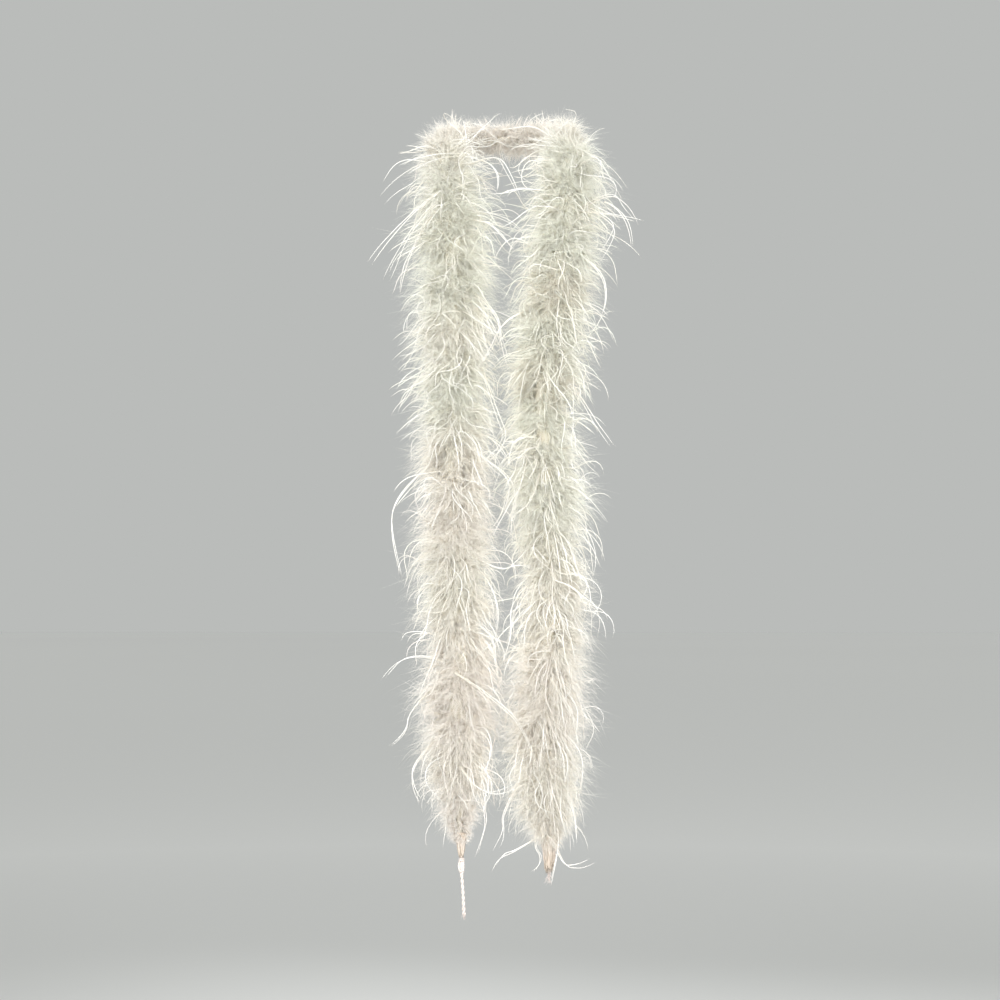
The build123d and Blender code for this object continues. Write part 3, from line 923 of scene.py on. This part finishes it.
def fray(name, origin, heading, count, length, radius, spread, rng, material):
    """Loose fibres at a cut end."""
    headings = unit(np.array(heading) + rng.normal(0, spread, (count, 3)))
    roots = np.array(origin) + rng.normal(0, radius * 0.4, (count, 3))
    lengths = rng.uniform(0.5, 1.0, count) * length
    lines = grow(roots, headings, lengths, 7, 10.0, rng.normal(0, 60.0, (count, 3)))
    strands = Strands()
    strands.add(lines, np.full((count, 7), 0.00022) * np.linspace(1.2, 0.5, 7), rng.uniform(0, 0.7, count))
    return strands.build(name, material)


def finish_piece(piece, slot, body, *nodes):
    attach(piece, body)
    if nodes:
        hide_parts(*nodes)
    return piece


# ---------------------------------------------------------------- camera, light and floor

PANEL_SIZE = 2.4
PANEL_AIM = (0, -0.1, -0.6)
FLOOR_HEIGHT = -1.45
FLOOR_SIZE = 60.0
# Painted shade on the floor near the lamps, against their pool of light
FLOOR_PAINTED_SHADE = (208, 209, 208)     # the floor under the lamps, and how far out that fades
PAINTED_SHADE_REACH = (1.5, 4.8)


def add_camera():
    """Straight in front of the two drops and a little below them."""
    target = Vector((-0.0072, -0.158, -0.478))
    distance = 2.4
    tilt = math.radians(3)
    data = bpy.data.cameras.new("camera")
    data.lens = 72.0
    camera = bpy.data.objects.new("camera", data)
    camera.location = target + distance * Vector((0, -math.cos(tilt), -math.sin(tilt)))
    camera.rotation_euler = (target - camera.location).to_track_quat("-Z", "Y").to_euler()
    bpy.context.scene.collection.objects.link(camera)
    bpy.context.scene.camera = camera


def add_light(name, location, power):
    """A soft panel that points at the middle of the hanging ends."""
    data = bpy.data.lights.new(name, "AREA")
    data.size = PANEL_SIZE
    data.energy = power
    data.spread = math.radians(60)
    light = bpy.data.objects.new(name, data)
    light.location = location
    light.rotation_euler = (Vector(PANEL_AIM) - Vector(location)).to_track_quat("-Z", "Y").to_euler()
    bpy.context.scene.collection.objects.link(light)


def add_floor():
    """A pale floor, painted darker under the lamps' pool of light so that it stays an even grey up to the
    horizon: the painted shade fades out with distance from the middle.
    """
    mesh = bpy.data.meshes.new("floor")
    signs = [(-1, -1), (1, -1), (1, 1), (-1, 1)]
    corners = [(x * FLOOR_SIZE, y * FLOOR_SIZE, FLOOR_HEIGHT) for x, y in signs]
    mesh.from_pydata(corners, [], [(0, 1, 2, 3)])
    material, tree, shader = new_material("floor_pale", 0.9, 0.0)
    grain = tree.nodes.new("ShaderNodeTexNoise")
    grain.inputs["Scale"].default_value = 6.0
    colour = ramp(tree, [(0.3, srgb((253, 253, 252))), (0.7, srgb((255, 255, 254)))])
    tree.links.new(grain.outputs["Fac"], colour.inputs["Fac"])
    place = tree.nodes.new("ShaderNodeTexCoord")
    distance = tree.nodes.new("ShaderNodeVectorMath")
    distance.operation = "LENGTH"
    tree.links.new(place.outputs["Object"], distance.inputs[0])
    share = tree.nodes.new("ShaderNodeMapRange")
    share.inputs["From Min"].default_value = PAINTED_SHADE_REACH[0]
    share.inputs["From Max"].default_value = PAINTED_SHADE_REACH[1]
    tree.links.new(distance.outputs["Value"], share.inputs["Value"])
    # Painted shade against the lamps' pool of light: full near the middle, fading out further away
    painted_floor_shade = ramp(tree, [(0.0, srgb(FLOOR_PAINTED_SHADE)), (1.0, (1.0, 1.0, 1.0, 1.0))])
    tree.links.new(share.outputs["Result"], painted_floor_shade.inputs["Fac"])
    pale = multiply(tree, colour.outputs["Color"], painted_floor_shade.outputs["Color"])
    tree.links.new(pale, shader.inputs["Base Color"])
    mesh.materials.append(material)
    floor = bpy.data.objects.new("floor", mesh)
    bpy.context.scene.collection.objects.link(floor)


def add_world():
    world = bpy.data.worlds.new("studio")
    world.use_nodes = True
    background = world.node_tree.nodes["Background"]
    background.inputs["Color"].default_value = srgb((186, 188, 186))
    background.inputs["Strength"].default_value = 1.0
    bpy.context.scene.world = world
    bpy.context.scene.cycles.max_bounces = 32
    bpy.context.scene.cycles.diffuse_bounces = 32
    bpy.context.scene.view_settings.view_transform = "Standard"


# ---------------------------------------------------------------- assembly

rng = np.random.default_rng(SEED)
joints = frame["joints"]
SIDES = [
    Side("left", -1, NECK[7:], LEFT_UPPER, LEFT_LOWER, LEFT_END, joints),
    Side("right", 1, NECK[6::-1], RIGHT_UPPER, RIGHT_LOWER, RIGHT_END, joints),
]
left, right = SIDES

add_camera()
add_world()
add_floor()
add_light("key", (-1.2, -3.0, 0.5), 21.5)
add_light("fill", (2.0, -2.4, 0.1), 12.5)
add_light("back", (0.6, 2.6, 0.7), 24.0)

knot = finish_piece(end_knot(), "cotton_cord", "left_lower", "end_knot_left")
wrap = finish_piece(
    wrapped_quills("wrap_left", LEFT_END, LEFT_LOWER[-1], 0.031, 0.0072, 0.0028, 150, 0.0002, rng),
    "binding_thread", "left_lower", "end_wrap_left",
)
stub = finish_piece(
    wrapped_quills("stub_right", RIGHT_END, RIGHT_LOWER[-1], 0.046, 0.0105, 0.0046, 320, 0.0009, rng),
    "binding_thread", "right_lower", "end_stub_right",
)
tip = finish_piece(
    fray("tip_right", RIGHT_TAIL[0], (0, 0, -1), 26, 0.016, 0.002, 0.12, rng, CORD),
    "cotton_cord", "right_lower", "cord_tail_right",
)

build_cord(
    "neck", "neck_loop",
    [towards(right.bust, NECK[0], CORD_END_GAP), *NECK, towards(left.bust, NECK[-1], CORD_END_GAP)],
)
for side, upper, lower, end, pieces in [
    (left, LEFT_UPPER, LEFT_LOWER, LEFT_END, [knot, wrap]),
    (right, RIGHT_UPPER, RIGHT_LOWER, RIGHT_END, [stub, tip]),
]:
    build_cord(
        f"{side.name}_upper", f"{side.name}_upper",
        [towards(side.bust, upper[0], CORD_END_GAP), *upper, towards(side.knee, upper[-1], CORD_END_GAP)],
    )
    build_cord(
        f"{side.name}_lower", f"{side.name}_lower",
        [towards(side.knee, lower[0], CORD_END_GAP), *lower, end],
    )

tail_line = route_line(LEFT_TAIL)
tail_fray = finish_piece(
    fray("tail_fray_left", LEFT_TAIL[-1], (0.05, 0, -1), 18, 0.007, 0.0016, 0.22, rng, CORD),
    "cotton_cord", "left_lower",
)
tail = finish_piece(
    rope("tail_left", tail_line, TAIL_D, CORD, loosen=0.4), "cotton_cord", "left_lower", "cord_tail_left"
)

# The CAD nodes that the down and the flues of each region stand for
for side in SIDES:
    name = side.name
    stands_for = {
        "nape": ([f"marabou_neck_{name}"], [f"ostrich_flues_nape_{name}"]),
        "shoulder": (
            [f"marabou_chest_{name}_1", f"marabou_chest_{name}_2"],
            [f"ostrich_flues_shoulder_{name}", f"ostrich_flues_chest_{name}"],
        ),
        "bust": (
            [f"marabou_chest_{name}_3", f"marabou_chest_{name}_4", f"marabou_{name}_upper_1"],
            [f"ostrich_flues_{name}_upper_1"],
        ),
        "waist": ([f"marabou_{name}_upper_2", f"marabou_{name}_upper_3"], [f"ostrich_flues_{name}_upper_2"]),
        "knee": ([f"marabou_{name}_upper_4", f"marabou_{name}_lower_1"], [f"ostrich_flues_{name}_lower_1"]),
        "end": (
            [f"marabou_{name}_lower_2", f"marabou_{name}_lower_3", f"marabou_{name}_lower_4"],
            [f"ostrich_flues_{name}_lower_2"],
        ),
    }
    for region, first, last, above, below in side.regions():
        down_nodes, flue_nodes = stands_for[region]
        heart, fringe = build_down(side, region, first, last, above, below, rng)
        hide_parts(*down_nodes)
        if side is left and region == "nape":
            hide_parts("marabou_nape")
        flues = build_flues(side, region, first, last, above, below, rng)
        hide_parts(*flue_nodes)
